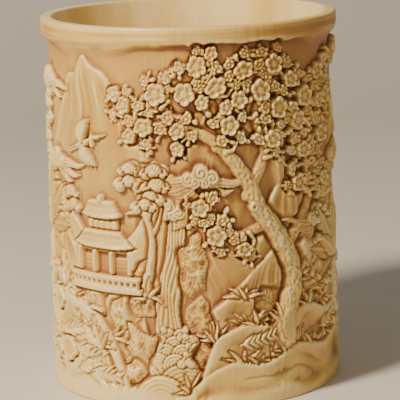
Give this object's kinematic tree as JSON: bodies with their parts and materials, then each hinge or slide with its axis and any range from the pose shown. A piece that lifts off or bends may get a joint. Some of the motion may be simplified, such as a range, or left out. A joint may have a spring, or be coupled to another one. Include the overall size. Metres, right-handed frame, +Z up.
{
  "type": "carved brush holder pot",
  "caption": "Round upright brush holder with a deeply carved landscape on its wall, a plain rim and a let-in base held by pegs.",
  "frame": {"origin": "centre of the foot ring, on the surface that the pot stands on", "axes": "+Z up along the bore; -Y towards the front of the carving; +X to its right"},
  "size_m": [0.112, 0.112, 0.14],
  "materials": {
    "carved_ivory": "satin, carved and hand polished, stained in the recesses",
    "plate_ivory": "satin, turned and scraped flat",
    "peg_ivory": "satin, turned"
  },
  "bodies": {
    "root": {"carved_body": "carved_ivory", "base_plate": "plate_ivory", "base_peg_1": "peg_ivory", "base_peg_2": "peg_ivory", "base_peg_3": "peg_ivory", "base_peg_4": "peg_ivory"}
  },
  "joints": []
}
